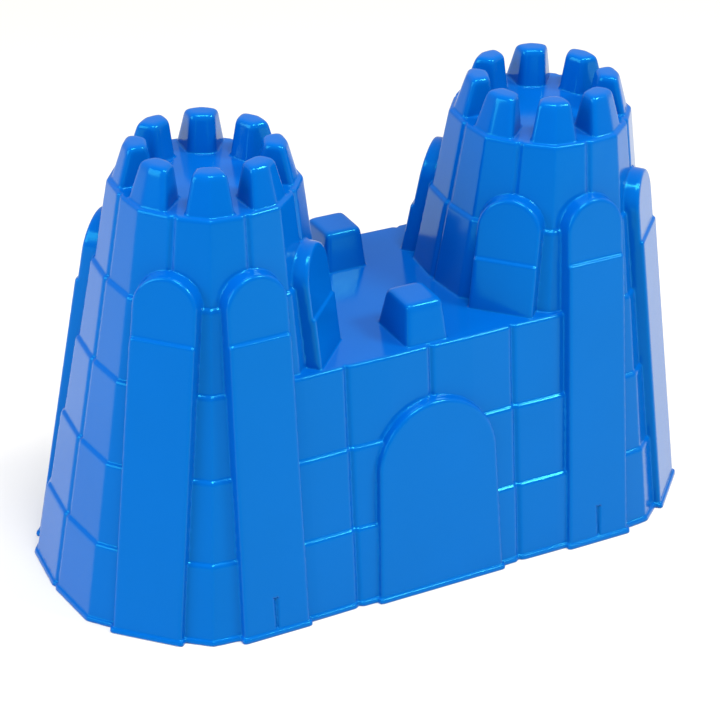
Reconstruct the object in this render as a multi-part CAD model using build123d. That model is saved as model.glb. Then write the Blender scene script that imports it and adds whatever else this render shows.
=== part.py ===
from build123d import *
import os
from math import cos, pi, radians, sin

os.makedirs("parts", exist_ok=True)

# Twin-tower castle sand mould, standing mouth down.
# X runs along the castle, the gate looks along -Y, Z is up, and z = 0 is the underside of the base rim.

# ---- Sizes, in millimetres ----
WALL = 1.8                  # thickness of the moulded skin
TOWER_X = 70.6              # half the distance between the tower axes
COURSE_H = 32.0             # height of one course of bricks
TOWER_COURSES = 5
WALL_COURSES = 3
BASE_R = 64.4               # crease radius of a tower at the ground
TAPER = 4.85                # how much a course narrows over its height
LEDGE = 1.25                # how much each course stands out below the next one
FLAT = 0.95                 # joint radius as a share of the crease radius
BRICKS = 8                  # bricks in a course of a tower
JOINT_DEPTH = 0.9           # depth of the joint between two bricks
JOINT_HALF = 0.9            # half the width of that joint
CREST = 0.3                 # how far the middle of a curtain wall brick stands out

BUTTRESS_TOP = 140.6        # crown of a buttress
BUTTRESS_R = 12.2           # radius of its round top
BUTTRESS_FOOT = 13.5        # half its width at the ground
BUTTRESS_FACE = 63.5        # distance of its face from the tower axis at the ground
LEAN = 0.149                # how much the face leans in per millimetre of height
BUTTRESS_STEP_Z = 116.0     # height of the small step in its face
BUTTRESS_STEP = 1.0
DENT_Z = (2.5, 15.0)        # ends of the stacking groove in the foot of the middle buttresses
DENT_HALF = (0.7, 1.2)      # half its width in the face, at those ends
DENT_DEPTH = 1.1

GATE_TOP = 76.4
GATE_R = 25.2
GATE_FOOT = 26.8
GATE_FACE = 63.3

MERLON_H = 14.5
MERLON_FOOT = (18.3, 33.6)  # radius of the inner face and of the outer crease at the foot
MERLON_HEAD = (20.6, 29.2)
MERLON_FOOT_HALF = (5.0, 9.0)   # half its width on the inner and on the outer side
MERLON_HEAD_HALF = (4.2, 6.8)
MERLON_CREASE = 0.306       # how far its outer face falls back per millimetre of half width

DECK_MERLON_H = 15.5
DECK_MERLON_FOOT = (8.9, 20.0, 43.0)   # half length, inner y, outer y
DECK_MERLON_HEAD = (7.6, 23.3, 39.3)

LIP_OUT = 0.9
LIP_H = 2.0

DECK_Z = COURSE_H * WALL_COURSES
ROOF_Z = COURSE_H * TOWER_COURSES
CORE_R = 30.0               # panels and channels start this far from a tower axis
FAR = 400.0


def course_radii(index):
    """Crease radius at the bottom and at the top of a course."""
    bottom = BASE_R - index * (TAPER + LEDGE)
    return bottom, bottom - TAPER


# ---- Towers ----
def ring(x, z, radius, joints):
    """Outline of a tower at one height: a crease in the middle of each brick and a joint between bricks."""
    scale = radius / BASE_R
    turn = 2 * pi / BRICKS
    points = []
    for i in range(BRICKS):
        joint = i * turn
        flat = FLAT * radius
        if joints:
            for side, depth in ((-1, 0.0), (0, JOINT_DEPTH), (1, 0.0)):
                out = flat - depth * scale
                along = side * JOINT_HALF * scale
                points.append((x + out * cos(joint) - along * sin(joint), out * sin(joint) + along * cos(joint), z))
        else:
            points.append((x + flat * cos(joint), flat * sin(joint), z))
        crease = joint + turn / 2
        points.append((x + radius * cos(crease), radius * sin(crease), z))
    return make_face(Polyline(*points, close=True))


def tower_course(x, index, inset, drop, joints):
    """One course of a tower as a solid, inset and lowered for the hollow inside."""
    bottom, top = course_radii(index)
    z0 = index * COURSE_H - drop
    z1 = (index + 1) * COURSE_H - drop
    return loft([ring(x, z0, bottom - inset, joints), ring(x, z1, top - inset, joints)], ruled=True)


def tower_outer(x):
    return [tower_course(x, i, 0, 0, True) for i in range(TOWER_COURSES)]


def tower_hollow(x):
    return [tower_course(x, i, WALL + 0.2, WALL, False) for i in range(TOWER_COURSES)]


# ---- Curtain wall ----
def wall_outline(z, half_depth, joints):
    """Outline of the curtain wall at one height, with a joint every half tower distance."""
    half_brick = TOWER_X / 4
    front = [(-TOWER_X, -half_depth)]
    for i in range(-3, 4):
        x = i * half_brick
        if not joints:
            continue
        if i % 2:
            front.append((x, -half_depth - CREST))
        else:
            front.append((x - JOINT_HALF, -half_depth))
            front.append((x, -half_depth + JOINT_DEPTH))
            front.append((x + JOINT_HALF, -half_depth))
    front.append((TOWER_X, -half_depth))
    back = [(-px, -py) for px, py in front]
    return make_face(Polyline(*[(px, py, z) for px, py in front + back], close=True))


def wall_course(index, inset, drop, joints):
    bottom, top = course_radii(index)
    z0 = index * COURSE_H - drop
    z1 = (index + 1) * COURSE_H - drop
    low = wall_outline(z0, FLAT * bottom - inset, joints)
    high = wall_outline(z1, FLAT * top - inset, joints)
    return loft([low, high], ruled=True)


# ---- Raised panels: buttresses and gates ----
def arch(foot, radius, crown, z0):
    """Upright panel outline in (across, height): sloping sides and a round top."""
    spring = crown - radius
    low_half = foot - (foot - radius) * z0 / spring
    with BuildSketch() as sketch:
        with BuildLine():
            Polyline((-radius, spring), (-low_half, z0), (low_half, z0), (radius, spring))
            ThreePointArc((radius, spring), (0, crown), (-radius, spring))
        make_face()
    return sketch.sketch


def lean_profile(face, crown, z0, step_z, step):
    """Side view of a leaning panel in (outwards, height), with an optional small step in its face."""
    points = [(CORE_R, z0), (face - LEAN * z0, z0)]
    if step_z:
        at_step = face - LEAN * step_z
        points += [(at_step, step_z), (at_step - step, step_z)]
    points += [(face - step - LEAN * (crown + 1), crown + 1), (CORE_R, crown + 1)]
    return make_face(Polyline(*points, close=True))


def panel(foot, radius, crown, face, z0, step_z=0.0, step=0.0):
    """A leaning round-topped panel facing -Y, its foot at the origin."""
    outline = Plane.XZ * arch(foot, radius, crown, z0)
    upright = extrude(outline, FAR / 4)
    side = Plane.YZ * (mirror(lean_profile(face, crown, z0, step_z, step), Plane.YZ))
    slab = extrude(side, foot + 5, both=True)
    return upright & slab


def buttress(x, angle, inset, z0):
    """One buttress of a tower; the angle is counted from +X."""
    piece = panel(
        BUTTRESS_FOOT - inset,
        BUTTRESS_R - inset,
        BUTTRESS_TOP - inset,
        BUTTRESS_FACE - inset,
        z0,
        BUTTRESS_STEP_Z - inset,
        BUTTRESS_STEP,
    )
    return Pos(x, 0, 0) * Rot(0, 0, angle + 90) * piece


def buttress_angles(side):
    """All multiples of 45 degrees but the one facing the other tower and the one facing away from it."""
    return [45, 90, 135, 225, 270, 315]


def is_inner(side, angle):
    return side * cos(radians(angle)) < -0.1


def dent(x, front):
    """V-shaped groove down the foot of a middle buttress, a little wider at its top."""
    sections = []
    for z, half in zip(DENT_Z, DENT_HALF):
        face = BUTTRESS_FACE - LEAN * z
        mouth = -face - DENT_DEPTH
        points = [(-2 * half, mouth, z), (2 * half, mouth, z), (0, DENT_DEPTH - face, z)]
        sections.append(make_face(Polyline(*points, close=True)))
    return Pos(x, 0, 0) * Rot(0, 0, 0 if front else 180) * loft(sections, ruled=True)


def gate(front, inset):
    piece = panel(GATE_FOOT - inset, GATE_R - inset, GATE_TOP - inset, GATE_FACE - inset, -1 if inset else 0)
    return Rot(0, 0, 0 if front else 180) * piece


# ---- Merlons ----
def merlon(x, angle, inset):
    """Block on the roof edge: outer face creased like the brick below it, inner face flat and narrower."""
    rise = WALL if inset else 0.0
    foot = (ROOF_Z - 2 * rise, MERLON_FOOT, MERLON_FOOT_HALF)
    head = (ROOF_Z + MERLON_H - rise, MERLON_HEAD, MERLON_HEAD_HALF)
    sections = []
    for z, (inner, crease), (narrow, wide) in (foot, head):
        shoulder = crease - wide * MERLON_CREASE - inset
        side = [(inner + inset, narrow - inset), (shoulder, wide - inset)]
        points = side + [(crease - inset, 0)] + [(px, -py) for px, py in reversed(side)]
        sections.append(make_face(Polyline(*[(px, py, z) for px, py in points], close=True)))
    return Pos(x, 0, 0) * Rot(0, 0, angle) * loft(sections, ruled=True)


def merlon_angles():
    return [(i + 0.5) * 360 / BRICKS for i in range(BRICKS)]


def deck_merlon(front, inset):
    rise = WALL if inset else 0.0
    sections = []
    foot = (DECK_Z - 2 * rise, DECK_MERLON_FOOT)
    head = (DECK_Z + DECK_MERLON_H - rise, DECK_MERLON_HEAD)
    for z, (half, inner, outer) in (foot, head):
        middle = Pos(0, -(inner + outer) / 2, z)
        sections.append(middle * Rectangle(2 * (half - inset), outer - inner - 2 * inset))
    return Rot(0, 0, 0 if front else 180) * loft(sections, ruled=True)


# ---- Regions ----
def slab(x0, x1, z0, z1):
    """Everything between two heights and two lengthwise positions."""
    return Pos((x0 + x1) / 2, 0, (z0 + z1) / 2) * Box(x1 - x0, FAR, z1 - z0)


def fuse_all(shapes):
    result = shapes[0]
    for shape in shapes[1:]:
        result = result + shape
    return result


def cut_all(shape, tools):
    for tool in tools:
        shape = shape - tool
    return shape


def lip_prisms():
    """Upright prisms a little larger than the footprint of every part that reaches the ground."""
    wide = ring(0, 0, BASE_R + LIP_OUT, False)
    shapes = [Pos(x, 0, 0) * extrude(wide, LIP_H) for x in (-TOWER_X, TOWER_X)]
    shapes.append(Pos(0, 0, LIP_H / 2) * Box(2 * TOWER_X, 2 * (FLAT * BASE_R + LIP_OUT), LIP_H))
    for side in (-1, 1):
        for angle in buttress_angles(side):
            if not is_inner(side, angle):
                reach = BUTTRESS_FACE + LIP_OUT
                bar = Pos(reach / 2, 0, LIP_H / 2) * Box(reach, 2 * (BUTTRESS_FOOT + LIP_OUT), LIP_H)
                shapes.append(Pos(side * TOWER_X, 0, 0) * Rot(0, 0, angle) * bar)
    shapes.append(Pos(0, 0, LIP_H / 2) * Box(2 * (GATE_FOOT + LIP_OUT), 2 * (GATE_FACE + LIP_OUT), LIP_H))
    return shapes


def save(node, shape):
    solids = [solid for solid in shape.solids() if solid.volume > 1.0]
    export_step(Compound(children=solids) if len(solids) > 1 else solids[0], os.path.join("parts", node + ".step"))


# ---- Whole shapes ----
SIDES = {"left": -1, "right": 1}
towers = {name: fuse_all(tower_outer(side * TOWER_X)) for name, side in SIDES.items()}
wall = fuse_all([wall_course(i, 0, 0, True) for i in range(WALL_COURSES)])

hollow = []
for side in SIDES.values():
    hollow += tower_hollow(side * TOWER_X)
    for angle in buttress_angles(side):
        hollow.append(buttress(side * TOWER_X, angle, WALL, DECK_Z - 4 if is_inner(side, angle) else -1))
    for angle in merlon_angles():
        hollow.append(merlon(side * TOWER_X, angle, WALL))
hollow += [wall_course(i, WALL + 0.1, WALL, False) for i in range(WALL_COURSES)]
hollow += [gate(front, WALL) for front in (True, False)]
hollow += [deck_merlon(front, WALL) for front in (True, False)]
hollow.append(Pos(0, 0, -1) * Box(2 * TOWER_X, 2 * (FLAT * BASE_R - WALL - 0.1), 4))
cavity = fuse_all(hollow)

# ---- Nodes ----
for name, side in SIDES.items():
    x = side * TOWER_X
    tower = towers[name]
    outer_half = slab(-FAR, x, 0, DECK_Z) if side < 0 else slab(x, FAR, 0, DECK_Z)
    save(name + "_tower_foot", (tower & outer_half) - cavity)
    save(name + "_tower_drum", (tower & slab(-FAR, FAR, DECK_Z, ROOF_Z - WALL)) - cavity)
    save(name + "_tower_roof", (tower & slab(-FAR, FAR, ROOF_Z - WALL, ROOF_Z)) - cavity)
    merlons = [merlon(x, angle, 0) - cavity for angle in merlon_angles()]
    save(name + "_tower_merlons", Compound(children=merlons))
    panels = []
    for angle in buttress_angles(side):
        piece = buttress(x, angle, 0, DECK_Z if is_inner(side, angle) else 0)
        if angle in (90, 270):
            piece = piece - dent(x, angle == 270)
        panels += cut_all(piece, [tower, wall, cavity]).solids()
    save(name + "_tower_buttresses", Compound(children=panels))

skin = (wall & slab(-TOWER_X, TOWER_X, 0, DECK_Z - WALL)) - cavity
halves = {"front": Pos(0, -FAR / 2, 0) * Box(FAR, FAR, FAR), "back": Pos(0, FAR / 2, 0) * Box(FAR, FAR, FAR)}
for name, half in halves.items():
    front = name == "front"
    save(name + "_wall", skin & half)
    save(name + "_gate", cut_all(gate(front, 0), [wall, cavity]))
    save(name + "_deck_merlon", deck_merlon(front, 0) - cavity)
deck = (wall & slab(-TOWER_X, TOWER_X, DECK_Z - WALL, DECK_Z)) - cavity
save("deck", deck)

body = [wall] + list(towers.values()) + [gate(front, 0) for front in (True, False)]
for side in SIDES.values():
    body += [buttress(side * TOWER_X, angle, 0, 0) for angle in buttress_angles(side) if not is_inner(side, angle)]
save("base_rim", cut_all(fuse_all(lip_prisms()), body + [cavity]))
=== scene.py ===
import ast
from math import cos, pi, radians, sin

import bmesh
import bpy
from mathutils import Matrix, Vector


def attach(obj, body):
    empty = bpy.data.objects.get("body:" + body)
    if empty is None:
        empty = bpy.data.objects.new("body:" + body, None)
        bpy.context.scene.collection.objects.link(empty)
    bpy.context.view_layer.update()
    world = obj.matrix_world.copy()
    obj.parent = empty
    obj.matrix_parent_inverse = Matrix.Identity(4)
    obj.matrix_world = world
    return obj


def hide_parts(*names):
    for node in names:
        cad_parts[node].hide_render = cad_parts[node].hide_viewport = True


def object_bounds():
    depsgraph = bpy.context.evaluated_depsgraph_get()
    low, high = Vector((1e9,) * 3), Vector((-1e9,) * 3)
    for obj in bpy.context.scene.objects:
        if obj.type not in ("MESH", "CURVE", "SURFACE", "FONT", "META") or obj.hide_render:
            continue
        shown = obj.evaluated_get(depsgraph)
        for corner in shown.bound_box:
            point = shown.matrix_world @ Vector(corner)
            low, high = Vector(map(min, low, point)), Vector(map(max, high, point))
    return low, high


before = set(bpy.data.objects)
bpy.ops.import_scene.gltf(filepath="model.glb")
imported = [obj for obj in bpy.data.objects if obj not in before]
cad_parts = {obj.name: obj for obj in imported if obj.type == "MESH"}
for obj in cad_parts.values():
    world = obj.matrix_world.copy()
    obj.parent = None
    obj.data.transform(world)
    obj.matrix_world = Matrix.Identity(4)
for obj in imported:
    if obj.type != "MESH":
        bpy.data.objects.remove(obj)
CAD_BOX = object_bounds()

# ---- Sizes of the castle, in millimetres (they are inputs of the node trees) ----
SIZES = {
    "tower_x": 70.6,          # half the distance between the tower axes
    "course_h": 32.0,         # height of one course of bricks
    "roof_z": 160.0,
    "deck_z": 96.0,
    "base_r": 64.4,           # crease radius of a tower at the ground
    "slope": 0.1516,          # how much the radius shrinks per millimetre of height
    "ledge": 1.25,            # how much a course stands out below the next one
    "ledge_round": 2.6,
    "ledge_fillet": 0.8,
    "flat": 0.95,             # joint radius as a share of the crease radius
    "facet_turn": 0.2915,     # angle between a facet and the crease beside it
    "crease_round": 0.35,
    "joint_depth": 0.95,
    "joint_half": 1.5,
    "joint_fall": 2.5,        # how steeply a joint's groove runs out
    "crest": 0.3,             # how far the middle of a wall brick stands out
    "skin": 1.8,
    "roof_round": 2.0,
    "wall_fillet": 1.2,       # rounding where the wall meets a tower
    "buttress_top": 139.8,
    "buttress_r": 12.2,
    "buttress_foot": 13.5,
    "buttress_face": 63.5,
    "lean": 0.149,
    "step_z": 116.0,
    "step": 1.0,
    "panel_round": 2.0,
    "panel_fillet": 0.6,
    "draft": 0.03,            # how much a panel widens per millimetre below its face
    "step_round": 1.2,
    "arch_slope": 0.96,       # evens out the distance on the sides of a panel
    "dent_low": 2.5,          # the narrow groove in the foot of the middle buttresses
    "dent_high": 15.0,
    "dent_narrow": 0.7,       # half its width in the face at the low end, and at the high end
    "dent_wide": 1.2,
    "dent_depth": 1.1,
    "dent_flank": 0.74,       # evens out the distance on the groove's sloping sides
    "dent_round": 0.4,
    "gate_top": 76.0,
    "gate_r": 25.2,
    "gate_foot": 26.8,
    "gate_face": 63.3,
    "merlon_h": 14.5,
    "merlon_in": 18.3,
    "merlon_out": 33.6,
    "merlon_lean_out": 0.3,   # how much its outer face leans in per millimetre of height
    "merlon_lean_in": 0.16,
    "merlon_middle": 24.6,    # where its half width is merlon_half
    "merlon_half": 7.0,
    "merlon_wedge": 0.34,     # how much it widens per millimetre outwards
    "merlon_taper": 0.1,      # how much its sides lean in per millimetre of height
    "merlon_flank": 0.943,    # evens out the distance on its slanting sides
    "merlon_crease": 0.8,
    "merlon_round": 3.4,
    "merlon_fillet": 0.8,
    "root": 4.0,              # how deep a merlon or a block reaches into what it stands on
    "block_h": 15.5,
    "block_half": 8.9,
    "block_taper": 0.084,
    "block_in": 20.0,         # its near and far face, measured from the middle of the deck
    "block_out": 43.0,
    "block_lean_in": 0.213,
    "block_lean_out": 0.239,
    "block_round": 3.2,
    "lip_out": 0.9,
    "lip_h": 2.0,
    "lip_round": 0.9,
    "lip_fillet": 0.7,
    "core_round": 0.3,        # smooths the distance halfway through the skin
    "foot_round": 0.6,        # rounding of the skin's edges at the ground
}
VOXEL = 0.7   # grid step of the first, rough mesh
GRID_MARGIN = 3.0               # how far the grid reaches past the castle
PULLS = 2                       # how often the rough mesh is pulled onto the exact surface
SLOPE_REACH = 0.06              # how far from a point the distance is read to find its slope


# ---- Node trees ----
def add_node(tree, kind, inputs=(), **settings):
    """Adds one node; inputs are (socket name, number or output socket) pairs. Returns the node."""
    node = tree.nodes.new(kind)
    for name, value in settings.items():
        setattr(node, name, value)
    for name, value in inputs:
        if isinstance(value, bpy.types.NodeSocket):
            tree.links.new(value, node.inputs[name])
        else:
            node.inputs[name].default_value = value
    return node


SIGNS = {ast.Add: "ADD", ast.Sub: "SUBTRACT", ast.Mult: "MULTIPLY", ast.Div: "DIVIDE"}
WORDS = {
    "min": "MINIMUM", "max": "MAXIMUM", "abs": "ABSOLUTE", "sqrt": "SQRT", "sin": "SINE", "cos": "COSINE",
    "atan2": "ARCTAN2", "round": "ROUND", "smin": "SMOOTH_MIN", "smax": "SMOOTH_MAX", "above": "GREATER_THAN",
    "zigzag": "PINGPONG", "exp": "EXPONENT",
}


def write_rule(tree, text, known):
    """Turns lines such as 'a = max(b, c - 1)' into math nodes; known maps a name to its socket or number."""
    def socket(part):
        if isinstance(part, ast.Constant):
            return float(part.value)
        if isinstance(part, ast.Name):
            return known[part.id]
        if isinstance(part, ast.UnaryOp):
            word, parts = "MULTIPLY", [socket(part.operand), -1.0]
        elif isinstance(part, ast.BinOp):
            word, parts = SIGNS[type(part.op)], [socket(part.left), socket(part.right)]
        else:
            word, parts = WORDS[part.func.id], [socket(piece) for piece in part.args]
        return add_node(tree, "ShaderNodeMath", list(enumerate(parts)), operation=word).outputs[0]

    for line in ast.parse(text).body:
        known[line.targets[0].id] = socket(line.value)
    return known


def new_tree(name, ins, outs):
    tree = bpy.data.node_groups.new(name, "GeometryNodeTree")
    for label, kind in ins:
        tree.interface.new_socket(label, in_out="INPUT", socket_type=kind)
    for label, kind in outs:
        tree.interface.new_socket(label, in_out="OUTPUT", socket_type=kind)
    for item in tree.interface.items_tree:
        if item.in_out == "INPUT" and item.name in SIZES:
            item.default_value = SIZES[item.name]
    start = tree.nodes.new("NodeGroupInput")
    end = tree.nodes.new("NodeGroupOutput")
    return tree, start.outputs, end.inputs


SIZE_SOCKETS = [(name, "NodeSocketFloat") for name in SIZES]

CASTLE_RULE = """
tx = abs(x) - tower_x
ty = abs(y)
radial = sqrt(tx * tx + ty * ty)
bearing = atan2(ty, tx)
turn = 0.39269908
off_joint = zigzag(bearing, turn)
joint_w = radial * sin(off_joint)
joint_s = radial * cos(off_joint)
crease_v = radial * sin(turn - off_joint)
crease_u = radial * cos(turn - off_joint)
crease_s = sqrt(crease_v * crease_v + crease_round * crease_round)

facet = (crease_u - base_r + slope * z) * cos(facet_turn) + crease_s * sin(facet_turn)
groove = joint_depth * exp(0 - joint_w * joint_w / (joint_half * joint_half) * joint_fall)
facet = facet + groove
level = max(min(round(z / course_h), 4), 1)
step_in = ledge * cos(facet_turn)
lower = facet + (level - 1) * step_in
tower = smin(smax(lower, z - level * course_h, ledge_round), lower + step_in, ledge_fillet)
tower = smax(tower, z - roof_z, roof_round)

half_brick = tower_x / 4
wall_w = zigzag(abs(x), half_brick)
wall_groove = joint_depth * exp(0 - wall_w * wall_w / (joint_half * joint_half) * joint_fall)
face = abs(y) - flat * (base_r - slope * z) - crest * min(wall_w / half_brick, 1) + wall_groove
wall_level = max(min(round(z / course_h), 2), 1)
wall_in = ledge * flat
wall_low = face + (wall_level - 1) * wall_in
wall = smin(smax(wall_low, z - wall_level * course_h, ledge_round), wall_low + wall_in, ledge_fillet)
wall = smax(max(wall, abs(x) - tower_x), z - deck_z, roof_round)
body = smin(tower, wall, wall_fillet)

cell = round(bearing / (turn * 2))
far_off = 100
no_panel = far_off - far_off * above(cell, 0.5) * above(3.5, cell)
spring = buttress_top - buttress_r
up = max(z - spring, 0)
below = max(spring - z, 0)
bow = sqrt(joint_w * joint_w + up * up) - buttress_r - (buttress_foot - buttress_r) * below / spring
plane = joint_s - buttress_face + lean * z
panel_face = smin(smax(plane, z - step_z, step_round), plane + step, step_round)
dent_half = dent_narrow + (dent_wide - dent_narrow) * (z - dent_low) / (dent_high - dent_low)
dent_wall = (joint_w - dent_half * (1 + plane / dent_depth)) * dent_flank
no_dent = far_off - far_off * above(cell, 1.5) * above(2.5, cell)
dent_cut = max(dent_wall, max(z - dent_high, dent_low - z)) + no_dent
panel_face = smax(panel_face, 0 - dent_cut, dent_round)
buttress = smax((bow + draft * panel_face) * arch_slope, panel_face, panel_round) + no_panel
body = smin(body, buttress, panel_fillet)

gate_spring = gate_top - gate_r
gate_up = max(z - gate_spring, 0)
gate_below = max(gate_spring - z, 0)
arch = sqrt(x * x + gate_up * gate_up) - gate_r - (gate_foot - gate_r) * gate_below / gate_spring
gate_plane = abs(y) - gate_face + lean * z
gate = smax((arch + draft * gate_plane) * arch_slope, gate_plane, panel_round)
body = smin(body, gate, panel_fillet)

rise = z - roof_z
crease_a = sqrt(crease_v * crease_v + merlon_crease)
merlon_front = (crease_u - merlon_out + merlon_lean_out * rise) * cos(facet_turn) + crease_a * sin(facet_turn)
merlon_back = (merlon_in + merlon_lean_in * rise) - crease_u
merlon_width = merlon_wedge * (crease_u - merlon_middle) + merlon_half - merlon_taper * rise
merlon_side = (crease_v - merlon_width) * merlon_flank
merlon = smax(smax(merlon_front, merlon_back, merlon_round), merlon_side, merlon_round)
merlon = smax(merlon, rise - merlon_h, merlon_round)
merlon = max(merlon, 0 - root - rise)
body = smin(body, merlon, merlon_fillet)

lift = z - deck_z
block_side = abs(x) - block_half + block_taper * lift
block_near = block_in + block_lean_in * lift - abs(y)
block_far = abs(y) - block_out + block_lean_out * lift
block = smax(block_side, smax(block_near, block_far, block_round), block_round)
block = smax(block, lift - block_h, block_round)
block = max(block, 0 - root - lift)
body = smin(body, block, merlon_fillet)

lip = smax(body - lip_out, z - lip_h, lip_round)
body = smin(body, lip, lip_fillet)
hollow = 0 - body - skin
skin_d = smax(smax(body, hollow, core_round), 0 - z, foot_round)
"""


def castle_distance_tree():
    """Signed distance, in millimetres, from a point to the castle's skin: below zero inside the plastic."""
    tree, start, end = new_tree(
        "castle_distance",
        [("Point", "NodeSocketVector")] + SIZE_SOCKETS,
        [("Distance", "NodeSocketFloat")],
    )
    split = add_node(tree, "ShaderNodeSeparateXYZ", [("Vector", start["Point"])])
    known = {name: start[name] for name in SIZES}
    known.update(x=split.outputs["X"], y=split.outputs["Y"], z=split.outputs["Z"])
    write_rule(tree, CASTLE_RULE, known)
    tree.links.new(known["skin_d"], end["Distance"])
    return tree


def link_group(tree, inner, start, inputs):
    """Uses one tree inside another and passes every size on to it."""
    node = add_node(tree, "GeometryNodeGroup", (), node_tree=inner)
    for name, value in [(name, start[name]) for name in SIZES] + list(inputs):
        tree.links.new(value, node.inputs[name])
    return node


def end_with_material(tree, shape, material, end):
    """Every tree ends in real geometry that carries its material."""
    joined = add_node(tree, "GeometryNodeRealizeInstances", [("Geometry", shape)])
    coat = [("Geometry", joined.outputs[0]), ("Material", material)]
    done = add_node(tree, "GeometryNodeSetMaterial", coat)
    tree.links.new(done.outputs[0], end["Geometry"])


def castle_pull_tree(distance):
    """Moves a point onto the skin along the distance's slope, and gives that slope as the normal."""
    tree, start, end = new_tree(
        "castle_pull",
        [("Point", "NodeSocketVector")] + SIZE_SOCKETS,
        [("Pulled", "NodeSocketVector"), ("Normal", "NodeSocketVector"), ("Distance", "NodeSocketFloat")],
    )
    total = None
    for corner in ((1, -1, -1), (-1, -1, 1), (-1, 1, -1), (1, 1, 1)):
        shift = tuple(SLOPE_REACH * c for c in corner)
        moved = add_node(tree, "ShaderNodeVectorMath", [(0, start["Point"]), (1, shift)], operation="ADD")
        probe = link_group(tree, distance, start, [("Point", moved.outputs[0])])
        by = [(0, corner), ("Scale", probe.outputs[0])]
        scaled = add_node(tree, "ShaderNodeVectorMath", by, operation="SCALE")
        if total is None:
            total = scaled.outputs[0]
        else:
            pair = [(0, total), (1, scaled.outputs[0])]
            total = add_node(tree, "ShaderNodeVectorMath", pair, operation="ADD").outputs[0]
    normal = add_node(tree, "ShaderNodeVectorMath", [(0, total)], operation="NORMALIZE").outputs[0]
    here = link_group(tree, distance, start, [("Point", start["Point"])]).outputs[0]
    off = add_node(tree, "ShaderNodeVectorMath", [(0, normal), ("Scale", here)], operation="SCALE")
    pair = [(0, start["Point"]), (1, off.outputs[0])]
    pulled = add_node(tree, "ShaderNodeVectorMath", pair, operation="SUBTRACT")
    tree.links.new(pulled.outputs[0], end["Pulled"])
    tree.links.new(normal, end["Normal"])
    tree.links.new(here, end["Distance"])
    return tree


def castle_skin_tree(distance, pull, material):
    """The whole moulding: the distance rule filled into a grid, meshed, and pulled onto the exact surface."""
    tree, start, end = new_tree(
        "castle_skin",
        [("Geometry", "NodeSocketGeometry")] + SIZE_SOCKETS,
        [("Geometry", "NodeSocketGeometry")],
    )
    low = [1000 * v - GRID_MARGIN for v in CAD_BOX[0]]
    high = [1000 * v + GRID_MARGIN for v in CAD_BOX[1]]
    counts = [int((b - a) / VOXEL) for a, b in zip(low, high)]
    place = add_node(tree, "GeometryNodeInputPosition")
    field = link_group(tree, distance, start, [("Point", place.outputs[0])])
    rule = "dense = max(0 - distance, 0 - margin)"
    density = write_rule(tree, rule, {"distance": field.outputs[0], "margin": GRID_MARGIN})["dense"]
    grid = add_node(
        tree,
        "GeometryNodeVolumeCube",
        [("Density", density), ("Background", -GRID_MARGIN), ("Min", low), ("Max", high)]
        + [("Resolution " + axis, count) for axis, count in zip("XYZ", counts)],
    )
    mesh = add_node(
        tree,
        "GeometryNodeVolumeToMesh",
        [("Volume", grid.outputs[0]), ("Threshold", 0.0), ("Adaptivity", 0.0)],
    )
    shape = mesh.outputs[0]
    for _ in range(PULLS):
        spot = add_node(tree, "GeometryNodeInputPosition")
        pulled = link_group(tree, pull, start, [("Point", spot.outputs[0])]).outputs["Pulled"]
        moved = add_node(tree, "GeometryNodeSetPosition", [("Geometry", shape), ("Position", pulled)])
        shape = moved.outputs[0]
    metres = add_node(tree, "GeometryNodeTransform", [("Geometry", shape), ("Scale", (0.001, 0.001, 0.001))])
    end_with_material(tree, metres.outputs[0], material, end)
    return tree


def finish_tree(pull, material):
    """Gives every point of a piece the exact normal of the skin, so that no seam shows between pieces."""
    tree, start, end = new_tree(
        "castle_finish",
        [("Geometry", "NodeSocketGeometry")] + SIZE_SOCKETS,
        [("Geometry", "NodeSocketGeometry")],
    )
    place = add_node(tree, "GeometryNodeInputPosition")
    to_mm = [(0, place.outputs[0]), ("Scale", 1000.0)]
    scaled = add_node(tree, "ShaderNodeVectorMath", to_mm, operation="SCALE")
    pulled = link_group(tree, pull, start, [("Point", scaled.outputs[0])])
    rounded = [("Geometry", start["Geometry"]), ("Shade Smooth", True)]
    smooth = add_node(tree, "GeometryNodeSetShadeSmooth", rounded)
    shaded = add_node(
        tree,
        "GeometryNodeSetMeshNormal",
        [("Mesh", smooth.outputs[0]), ("Custom Normal", pulled.outputs["Normal"])],
        mode="FREE",
        domain="POINT",
    )
    end_with_material(tree, shaded.outputs[0], material, end)
    return tree


def new_object(name, mesh):
    piece = bpy.data.objects.new(name, mesh)
    bpy.context.scene.collection.objects.link(piece)
    return piece


def run_tree(piece, tree):
    """Runs a node tree on an object, with the castle's sizes as its inputs, and keeps a plain mesh."""
    modifier = piece.modifiers.new("tree", "NODES")
    modifier.node_group = tree
    for item in tree.interface.items_tree:
        if item.in_out == "INPUT" and item.name in SIZES:
            modifier[item.identifier] = SIZES[item.name]
    keep_result(piece)


def keep_result(piece):
    graph = bpy.context.evaluated_depsgraph_get()
    result = bpy.data.meshes.new_from_object(piece.evaluated_get(graph))
    piece.modifiers.clear()
    piece.data = result


def prism(name, outlines):
    """Closed solid through outlines of equal length, each a list of (x, y, z) in millimetres."""
    shape = bmesh.new()
    for low, high in outlines:
        rings = [[shape.verts.new(Vector(p) / 1000) for p in ring] for ring in (low, high)]
        count = len(low)
        for i in range(count):
            j = (i + 1) % count
            shape.faces.new((rings[0][i], rings[0][j], rings[1][j], rings[1][i]))
        shape.faces.new(rings[0][::-1])
        shape.faces.new(rings[1])
    bmesh.ops.recalc_face_normals(shape, faces=shape.faces)
    mesh = bpy.data.meshes.new(name)
    shape.to_mesh(mesh)
    shape.free()
    return new_object(name, mesh)


def box(x0, x1, y0, y1, z0, z1):
    ring = [(x0, y0), (x1, y0), (x1, y1), (x0, y1)]
    return [(x, y, z0) for x, y in ring], [(x, y, z1) for x, y in ring]


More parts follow.
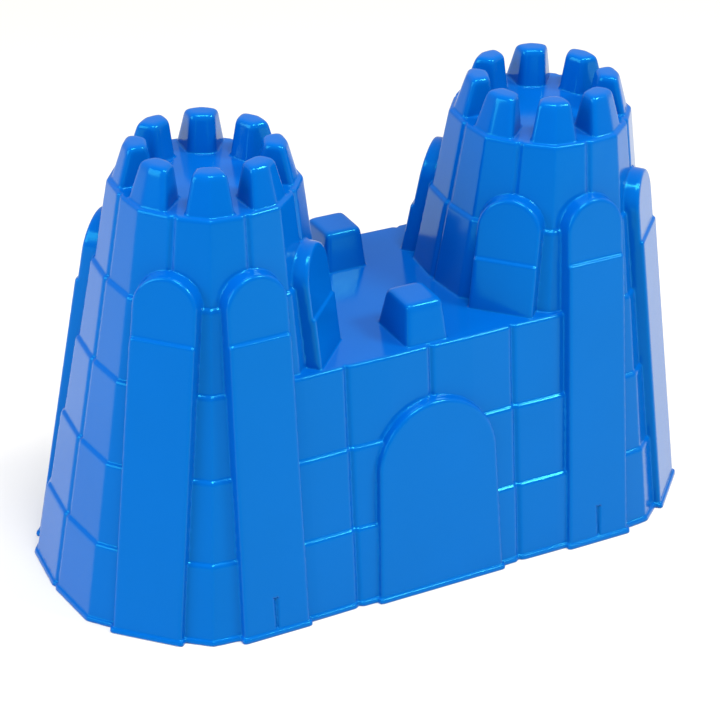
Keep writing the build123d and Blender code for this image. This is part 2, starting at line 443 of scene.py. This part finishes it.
def carve(source, name, tool, operation):
    """Copy of a mesh with only what is inside the tool kept (INTERSECT), or that cut away (DIFFERENCE)."""
    piece = new_object(name, source.data)
    cut = piece.modifiers.new("cut", "BOOLEAN")
    cut.operation = operation
    cut.solver = "MANIFOLD"
    cut.object = tool
    keep_result(piece)
    return piece


# ---- Cutting the skin into the pieces of the frame (heights and radii in millimetres) ----
CUT_RIM = 2.3              # heights of the level cuts
CUT_DECK = 94.2
CUT_ROOF = 157.6
CUT_DRUM = 48.6            # crease radius of the upright cut round a drum
PANEL_MARGIN = 2.0         # how much wider a panel is cut than it is
PANEL_BACK = 50.0          # how far out a buttress's cut begins at the ground
PANEL_BACK_LEAN = 0.137
DECK_REACH = 52.0          # how far out it ends over the deck
GATE_BACK = 34.0
BLOCK_CUT = (10.2, 18.7, 44.3)   # half width, near and far face of a deck merlon's cut
MERLON_CUT_IN = (17.2, 6.0)      # (outwards, half width) of a merlon's cut at its inner and outer corners
MERLON_CUT_OUT = (31.6, 9.9)
MERLON_CUT_TIP = 34.4
BELOW = -5.0               # under the ground
DRUM_BELOW = 60.0          # where the upright cuts begin, well below the surface they meet
BLOCK_BELOW = 80.0
MERLON_BELOW = 150.0
ABOVE = 190.0              # and where they end, past the castle
FAR = 100.0
WIDE = 300.0
ARCH_STEPS = 16
MERLONS = 8
SIDES = {"left": -1, "right": 1}
HALVES = {"front": -1, "back": 1}
PANEL_ANGLES = {"front": (225, 270, 315), "back": (45, 90, 135)}


def arch_outline(half, radius, crown, z0, margin):
    """Outline of a raised panel in (across, height), grown by a margin so that it takes the fillet along."""
    spring = crown - radius
    points = [(-half - margin, z0), (half + margin, z0)]
    for i in range(ARCH_STEPS + 1):
        angle = pi * i / ARCH_STEPS
        points.append(((radius + margin) * cos(angle), spring + (radius + margin) * sin(angle)))
    return points


def around(x, angle, points):
    """Turns (outwards, across, height) points of one tower side into castle coordinates."""
    c, s = cos(radians(angle)), sin(radians(angle))
    return [(x + u * c - w * s, u * s + w * c, z) for u, w, z in points]


def buttress_cutter(side, angle):
    inner = side * cos(radians(angle)) < -0.1
    x = side * SIZES["tower_x"]
    foot = CUT_DECK if inner else BELOW
    outline = arch_outline(
        SIZES["buttress_foot"], SIZES["buttress_r"], SIZES["buttress_top"], foot, PANEL_MARGIN
    )
    reach = DECK_REACH if inner else FAR
    near = [(PANEL_BACK - PANEL_BACK_LEAN * z, w, z) for w, z in outline]
    far = [(reach, w, z) for w, z in outline]
    return around(x, angle, near), around(x, angle, far)


def gate_cutter(half):
    outline = arch_outline(SIZES["gate_foot"], SIZES["gate_r"], SIZES["gate_top"], BELOW, PANEL_MARGIN)
    near = [(GATE_BACK, w, z) for w, z in outline]
    far = [(FAR, w, z) for w, z in outline]
    return around(0, half * 90, near), around(0, half * 90, far)


def merlon_cutter(side, angle):
    (inward, inward_half), (outward, outward_half) = MERLON_CUT_IN, MERLON_CUT_OUT
    plan = [(inward, inward_half), (outward, outward_half), (MERLON_CUT_TIP, 0.0)]
    plan += [(outward, -outward_half), (inward, -inward_half)]
    x = side * SIZES["tower_x"]
    low = around(x, angle, [(u, w, MERLON_BELOW) for u, w in plan])
    high = around(x, angle, [(u, w, ABOVE) for u, w in plan])
    return low, high


def drum_cutter(side):
    ring = []
    for i in range(16):
        radius = CUT_DRUM * (1.0 if i % 2 else SIZES["flat"])
        ring.append((side * SIZES["tower_x"] + radius * cos(i * pi / 8), radius * sin(i * pi / 8)))
    return [(x, y, DRUM_BELOW) for x, y in ring], [(x, y, ABOVE) for x, y in ring]


def block_cutter(half):
    wide, near, far = BLOCK_CUT
    return box(-wide, wide, *sorted((half * near, half * far)), BLOCK_BELOW, WIDE)


def cut_pieces(whole):
    """Cuts the whole skin into closed meshes, one for each node and two for a tower's buttresses."""
    pieces = {}
    spare = []

    def cut(source, name, outlines, operation):
        tool = prism("cutter", outlines)
        spare.append(tool)
        return carve(source, name, tool, operation)

    def keep(source, name, *outlines):
        return cut(source, name, outlines, "INTERSECT")

    def drop(source, name, *outlines):
        return cut(source, name, outlines, "DIFFERENCE")

    everywhere = (-WIDE, WIDE, -WIDE, WIDE)
    pieces["base_rim"] = keep(whole, "base_rim", box(*everywhere, -WIDE, CUT_RIM))
    upper = keep(whole, "upper", box(*everywhere, CUT_RIM, WIDE))
    panels = []
    for name, side in SIDES.items():
        for half, angles in PANEL_ANGLES.items():
            row = [buttress_cutter(side, angle) for angle in angles]
            label = name + "_tower_buttresses_" + half
            pieces[label] = keep(upper, label, *row)
            panels += row
    for name, half in HALVES.items():
        gate = gate_cutter(half)
        pieces[name + "_gate"] = keep(upper, name + "_gate", gate)
        panels.append(gate)
    rest = drop(upper, "rest", *panels)
    low = keep(rest, "low", box(*everywhere, 0, CUT_DECK))
    high = keep(rest, "high", box(*everywhere, CUT_DECK, WIDE))
    edge = SIZES["tower_x"]
    pieces["left_tower_foot"] = keep(low, "left_tower_foot", box(-WIDE, -edge, -WIDE, WIDE, 0, WIDE))
    pieces["right_tower_foot"] = keep(low, "right_tower_foot", box(edge, WIDE, -WIDE, WIDE, 0, WIDE))
    pieces["front_wall"] = keep(low, "front_wall", box(-edge, edge, -WIDE, 0, 0, WIDE))
    pieces["back_wall"] = keep(low, "back_wall", box(-edge, edge, 0, WIDE, 0, WIDE))
    blocks = {name: block_cutter(half) for name, half in HALVES.items()}
    for name, block in blocks.items():
        pieces[name + "_deck_merlon"] = keep(high, name + "_deck_merlon", block)
    drums = {name: drum_cutter(side) for name, side in SIDES.items()}
    pieces["deck"] = drop(high, "deck", *drums.values(), *blocks.values())
    for name, side in SIDES.items():
        tower = keep(high, "tower", drums[name])
        pieces[name + "_tower_drum"] = keep(tower, name + "_tower_drum", box(*everywhere, 0, CUT_ROOF))
        crown = keep(tower, "crown", box(*everywhere, CUT_ROOF, WIDE))
        merlons = [merlon_cutter(side, (i + 0.5) * 360 / MERLONS) for i in range(MERLONS)]
        pieces[name + "_tower_merlons"] = keep(crown, name + "_tower_merlons", *merlons)
        pieces[name + "_tower_roof"] = drop(crown, name + "_tower_roof", *merlons)
        spare += [tower, crown]
    for piece in spare + [whole, upper, rest, low, high]:
        bpy.data.objects.remove(piece)
    return pieces


# ---- Materials ----
def linear(code):
    """sRGB hex to the linear colour that the shaders take."""
    parts = [int(code[i:i + 2], 16) / 255 for i in (1, 3, 5)]
    return tuple(c / 12.92 if c <= 0.04045 else ((c + 0.055) / 1.055) ** 2.4 for c in parts) + (1.0,)


def moulded_polypropylene():
    """Blue polypropylene, injection moulded in a polished tool.

    To the eye it is glossy, with the faint waviness of a cooled skin, and its gloss is blue like the pigment.
    """
    material = bpy.data.materials.new("moulded_polypropylene_blue")
    material.use_nodes = True
    tree = material.node_tree
    tree.nodes.clear()
    place = add_node(tree, "ShaderNodeTexCoord").outputs["Object"]
    # Slow drift in the pigment, about 36 mm wide (28 patches to the metre).
    drift = add_node(tree, "ShaderNodeTexNoise", [("Vector", place), ("Scale", 28.0), ("Detail", 3.0)])
    tint = add_node(tree, "ShaderNodeMix", [("Factor", drift.outputs["Fac"])], data_type="RGBA")
    tint.inputs["A"].default_value = linear("#0056b2")
    tint.inputs["B"].default_value = linear("#005aba")
    # Sink and flow waviness of the skin, about 9 mm across and a few hundredths deep.
    waves = add_node(tree, "ShaderNodeTexNoise", [("Vector", place), ("Scale", 110.0), ("Detail", 2.0)])
    bump = add_node(
        tree, "ShaderNodeBump", [("Height", waves.outputs["Fac"]), ("Strength", 0.25), ("Distance", 0.00012)]
    )
    # Handling wear, as a slight change of gloss in patches about 17 mm wide.
    wear = add_node(tree, "ShaderNodeTexNoise", [("Vector", place), ("Scale", 60.0), ("Detail", 6.0)])
    gloss = add_node(
        tree, "ShaderNodeMapRange", [("Value", wear.outputs["Fac"]), ("To Min", 0.11), ("To Max", 0.17)]
    )
    shader = add_node(
        tree,
        "ShaderNodeBsdfPrincipled",
        [
            ("Base Color", tint.outputs["Result"]),
            ("Roughness", gloss.outputs["Result"]),
            ("Normal", bump.outputs["Normal"]),
            ("IOR", 1.49),
            ("Specular Tint", linear("#44ffff")),
        ],
    )
    out = add_node(tree, "ShaderNodeOutputMaterial")
    tree.links.new(shader.outputs["BSDF"], out.inputs["Surface"])
    return material


def paper_floor():
    """Seamless white paper: matt, and bright enough that the object hardly shades it."""
    material = bpy.data.materials.new("white_paper_sweep")
    material.use_nodes = True
    tree = material.node_tree
    shader = tree.nodes["Principled BSDF"]
    shader.inputs["Base Color"].default_value = linear("#cbcbcb")
    shader.inputs["Roughness"].default_value = 0.9
    shader.inputs["Emission Color"].default_value = linear("#ffffff")
    shader.inputs["Emission Strength"].default_value = 0.2
    return material


# ---- Making the castle ----
polypropylene = moulded_polypropylene()
distance = castle_distance_tree()
pull = castle_pull_tree(distance)
whole = new_object("castle_moulding", bpy.data.meshes.new("castle_moulding"))
run_tree(whole, castle_skin_tree(distance, pull, polypropylene))
finish = finish_tree(pull, polypropylene)
for name, piece in cut_pieces(whole).items():
    run_tree(piece, finish)
    piece.name = name + "_moulding"
    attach(piece, "root")
    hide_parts(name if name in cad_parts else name.rsplit("_", 1)[0])


# ---- Stage, light and camera (metres) ----
FLOOR_HALF = 6
corners = [(x * FLOOR_HALF, y * FLOOR_HALF, 0) for x, y in ((-1, -1), (1, -1), (1, 1), (-1, 1))]
floor_mesh = bpy.data.meshes.new("floor")
floor_mesh.from_pydata(corners, [], [(0, 1, 2, 3)])
floor = new_object("floor", floor_mesh)
floor.data.materials.append(paper_floor())


CASTLE_MIDDLE = Vector((0, 0, 0.08))
WORLD_STRENGTH = 0.56


def softbox(name, place, size, power, colour="#ffffff"):
    """A rectangular area light that looks at the castle."""
    light = bpy.data.lights.new(name, "AREA")
    light.shape = "RECTANGLE"
    light.size, light.size_y = size
    light.energy = power
    light.color = linear(colour)[:3]
    lamp = bpy.data.objects.new(name, light)
    lamp.location = place
    lamp.rotation_euler = (CASTLE_MIDDLE - Vector(place)).to_track_quat("-Z", "Y").to_euler()
    bpy.context.scene.collection.objects.link(lamp)


softbox("left_softbox", place=(-1.32, -0.02, 0.70), size=(0.9, 0.9), power=11.5)
softbox("high_softbox", place=(-0.065, -0.46, 1.50), size=(0.6, 0.5), power=16.5)
softbox("right_softbox", place=(0.69, -0.58, 1.05), size=(0.33, 0.33), power=12, colour="#fff0cc")

world = bpy.data.worlds.new("studio")
world.use_nodes = True
world.node_tree.nodes["Background"].inputs["Color"].default_value = linear("#ffffff")
world.node_tree.nodes["Background"].inputs["Strength"].default_value = WORLD_STRENGTH
bpy.context.scene.world = world

CAMERA_AZIMUTH = radians(-29.63)
CAMERA_HEIGHT = radians(30.21)
CAMERA_AWAY = 1.02068
CAMERA_ROLL = radians(2.14)
CAMERA_AIM = Vector((-0.00414, 0.0, 0.06733))
back = Vector((
    sin(CAMERA_AZIMUTH) * cos(CAMERA_HEIGHT),
    -cos(CAMERA_AZIMUTH) * cos(CAMERA_HEIGHT),
    sin(CAMERA_HEIGHT),
))
right = (-back).cross(Vector((0, 0, 1))).normalized()
up = right.cross(-back)
across = cos(CAMERA_ROLL) * right + sin(CAMERA_ROLL) * up
upright = cos(CAMERA_ROLL) * up - sin(CAMERA_ROLL) * right
camera_data = bpy.data.cameras.new("camera")
camera_data.sensor_width = 36.0
camera_data.lens = 132.34
camera = bpy.data.objects.new("camera", camera_data)
turned = Matrix((across, upright, back)).transposed().to_4x4()
camera.matrix_world = Matrix.Translation(CAMERA_AIM + back * CAMERA_AWAY) @ turned
bpy.context.scene.collection.objects.link(camera)
bpy.context.scene.camera = camera
bpy.context.scene.view_settings.view_transform = "Standard"
